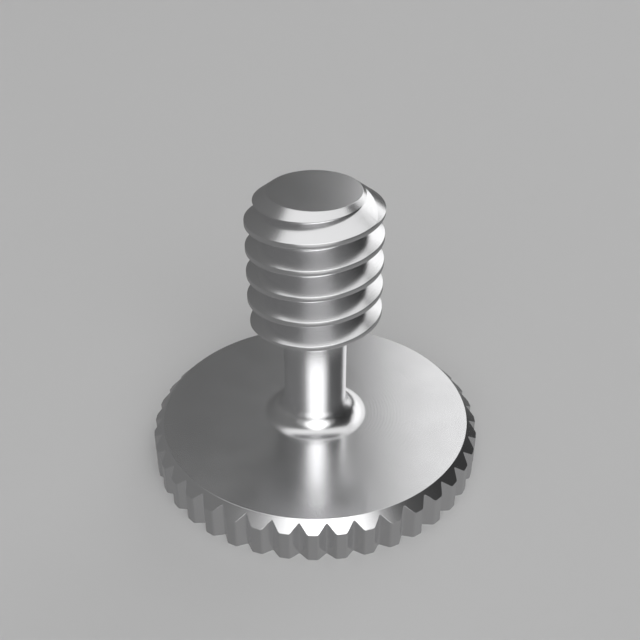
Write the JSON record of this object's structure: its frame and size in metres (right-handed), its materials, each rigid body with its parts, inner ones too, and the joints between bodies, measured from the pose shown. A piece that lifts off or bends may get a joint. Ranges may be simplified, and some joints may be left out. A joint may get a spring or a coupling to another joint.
{
  "type": "tripod screw",
  "caption": "Steel tripod screw with a thin notched thumb head, a plain narrow neck and a short threaded end with a chamfered point.",
  "frame": {"origin": "centre of the head's underside, on the surface it stands on", "axes": "+Z along the screw's axis, from the head to the threaded point; +X through the middle of one notch in the rim"},
  "size_m": [0.016, 0.016, 0.0141],
  "materials": {
    "stainless_steel": "fine turned stainless steel, satin to semi-bright"
  },
  "bodies": {
    "root": {"tripod_screw": "stainless_steel"}
  },
  "joints": []
}
